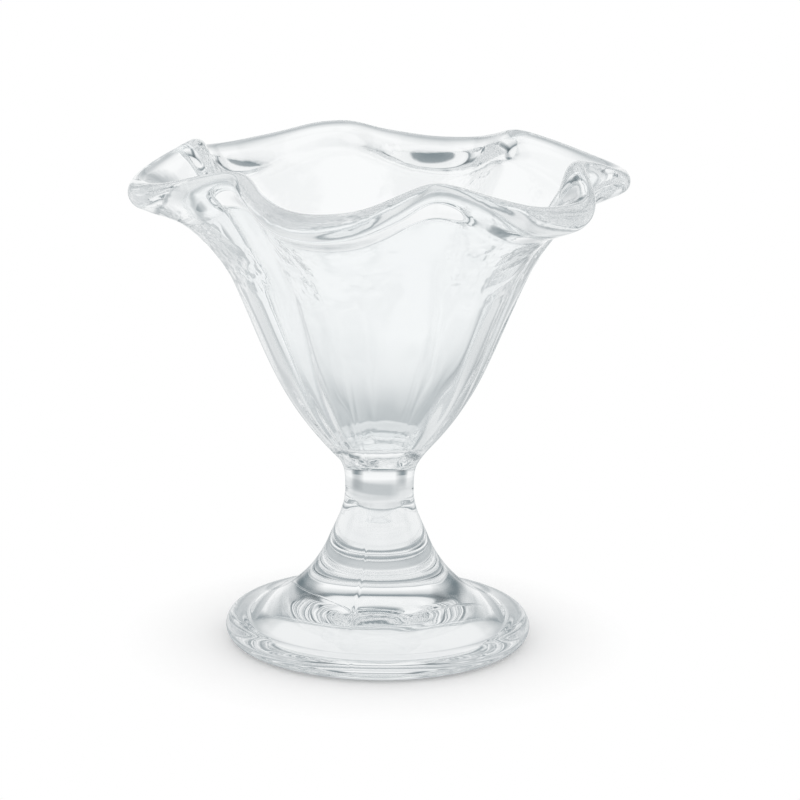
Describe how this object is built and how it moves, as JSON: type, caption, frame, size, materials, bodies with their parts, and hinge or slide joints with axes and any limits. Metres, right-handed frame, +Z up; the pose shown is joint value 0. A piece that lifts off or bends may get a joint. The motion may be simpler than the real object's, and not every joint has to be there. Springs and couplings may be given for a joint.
{
  "type": "stemmed dessert glass",
  "caption": "Clear pressed-glass dessert glass: fluted funnel bowl with a thick wavy rolled rim, on a short waisted stem and a round foot; holds a cold dessert or drink.",
  "frame": {"origin": "middle of the foot, on the surface that it stands on", "axes": "+Z up along the glass's axis, +X through the middle of one lobe of the rim"},
  "size_m": [0.1218, 0.1102, 0.12],
  "materials": {
    "clear_glass": "clear pressed glass, fire polished"
  },
  "bodies": {
    "root": {"foot": "clear_glass", "stem": "clear_glass", "bowl": "clear_glass", "rim": "clear_glass"}
  },
  "joints": []
}
